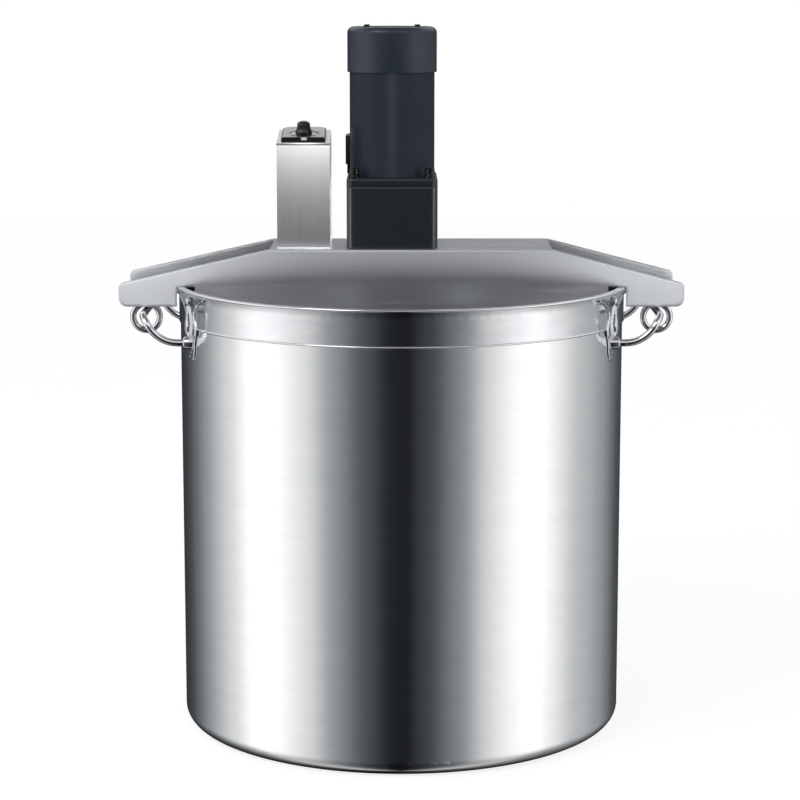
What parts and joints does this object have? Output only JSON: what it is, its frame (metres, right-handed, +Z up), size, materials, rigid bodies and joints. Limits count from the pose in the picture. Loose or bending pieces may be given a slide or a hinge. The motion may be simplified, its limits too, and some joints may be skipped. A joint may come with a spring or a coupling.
{
  "type": "sauce cooking machine",
  "caption": "Steel stock pot with loop handles and a bridge on its rim that carries a geared motor, a speed controller and a slow stirrer with scraper blades.",
  "frame": {"origin": "centre of the pot's underside, on the surface that the machine stands on", "axes": "+Z up along the pot axis, -Y the front with the controller on the left (-X), +X to the right along the bridge"},
  "size_m": [0.628, 0.5114, 0.7918],
  "materials": {
    "pot_steel": "mirror polished",
    "bar_steel": "polished",
    "bracket_steel": "polished pressing",
    "bridge_steel": "fine brushed",
    "gearbox_paint": "satin",
    "motor_paint": "satin",
    "bolt_black": "black oxide",
    "bolt_steel": "zinc plated",
    "bearing_steel": "ground",
    "shield_aluminium": "cast",
    "core_steel": "laminated",
    "copper": "enamelled wire",
    "terminal_plastic": "matte",
    "column_steel": "brushed",
    "bezel_plastic": "satin",
    "dial_aluminium": "satin anodised",
    "knob_plastic": "gloss",
    "part_plastic": "matte",
    "board_plastic": "matte",
    "shaft_steel": "ground",
    "gear_steel": "hobbed",
    "stirrer_steel": "brushed",
    "blade_plastic": "matte"
  },
  "bodies": {
    "pot": {"pot_shell": "pot_steel", "rim_band": "pot_steel", "left_handle": "bar_steel", "right_handle": "bar_steel", "left_front_bracket": "bracket_steel", "left_rear_bracket": "bracket_steel", "right_front_bracket": "bracket_steel", "right_rear_bracket": "bracket_steel", "bracket_rivets": "bracket_steel"},
    "left_ring": {"left_ring": "bar_steel"},
    "right_ring": {"right_ring": "bar_steel"},
    "mixer": {"bridge": "bridge_steel", "left_end_plate": "bridge_steel", "right_end_plate": "bridge_steel", "gearbox_case": "gearbox_paint", "gearbox_plate": "gearbox_paint", "gearbox_bolts": "bolt_black", "bolt_nuts": "bolt_steel", "output_bearings": "bearing_steel", "motor_housing": "motor_paint", "end_shield": "shield_aluminium", "motor_bearings": "bearing_steel", "stator": "core_steel", "windings": "copper", "fan_cover": "motor_paint", "cover_screws": "bolt_black", "terminal_box": "terminal_plastic", "control_box": "column_steel", "control_box_back": "column_steel", "back_screws": "bolt_steel", "control_faceplate": "bezel_plastic", "dial_plate": "dial_aluminium", "potentiometer": "part_plastic", "speed_board": "board_plastic", "cable_gland": "terminal_plastic"},
    "knob": {"knob": "knob_plastic", "potentiometer_shaft": "shaft_steel"},
    "rotor": {"rotor_shaft": "shaft_steel", "rotor_core": "core_steel", "cooling_fan": "part_plastic"},
    "first_reduction": {"first_layshaft": "shaft_steel", "first_gear": "gear_steel"},
    "second_reduction": {"second_layshaft": "shaft_steel", "second_gear": "gear_steel"},
    "stirrer": {"output_shaft": "shaft_steel", "output_gear": "gear_steel", "coupling": "shaft_steel", "coupling_screws": "bolt_steel", "stirrer_shaft": "shaft_steel", "stirrer_hub": "stirrer_steel", "tie_collar": "stirrer_steel", "stirrer_frame": "stirrer_steel", "frame_bolts": "bolt_steel", "stirrer_pins": "bolt_steel", "bottom_scrapers": "blade_plastic", "side_scrapers": "blade_plastic", "scraper_screws": "bolt_steel", "mixing_paddles": "stirrer_steel"}
  },
  "joints": [
    {"name": "mixer_lift", "type": "slide", "parent": "pot", "child": "mixer", "axis": [0, 0, 1], "range_m": [0, 0.52]},
    {"name": "left_ring_swing", "type": "hinge", "parent": "pot", "child": "left_ring", "pos_m": [-0.2848, -0.048, 0.47727], "axis": [0, 1, 0], "range_deg": [-60, 60]},
    {"name": "right_ring_swing", "type": "hinge", "parent": "pot", "child": "right_ring", "pos_m": [0.2848, -0.048, 0.47727], "axis": [0, 1, 0], "range_deg": [-60, 60]},
    {"name": "speed_knob", "type": "hinge", "parent": "mixer", "child": "knob", "pos_m": [-0.1092, -0.01285, 0.66598], "axis": [0, -0.153, 0.9882], "range_deg": [-280, 0]},
    {"name": "stirrer_turn", "type": "hinge", "parent": "mixer", "child": "stirrer", "pos_m": [0, 0, 0.4], "axis": [0, 0, 1], "continuous": true},
    {"name": "rotor_turn", "type": "hinge", "parent": "mixer", "child": "rotor", "pos_m": [-0.0105, 0, 0.68], "axis": [0, 0, 1], "continuous": true},
    {"name": "first_reduction_turn", "type": "hinge", "parent": "mixer", "child": "first_reduction", "pos_m": [-0.03445, -0.00151, 0.59], "axis": [0, 0, 1], "continuous": true},
    {"name": "second_reduction_turn", "type": "hinge", "parent": "mixer", "child": "second_reduction", "pos_m": [-0.02049, 0.02276, 0.58], "axis": [0, 0, 1], "continuous": true}
  ],
  "couplings": [
    {"joint": "second_reduction_turn", "follows": "stirrer_turn", "ratio": -2.5},
    {"joint": "first_reduction_turn", "follows": "stirrer_turn", "ratio": 7.5},
    {"joint": "rotor_turn", "follows": "stirrer_turn", "ratio": -22.5}
  ]
}
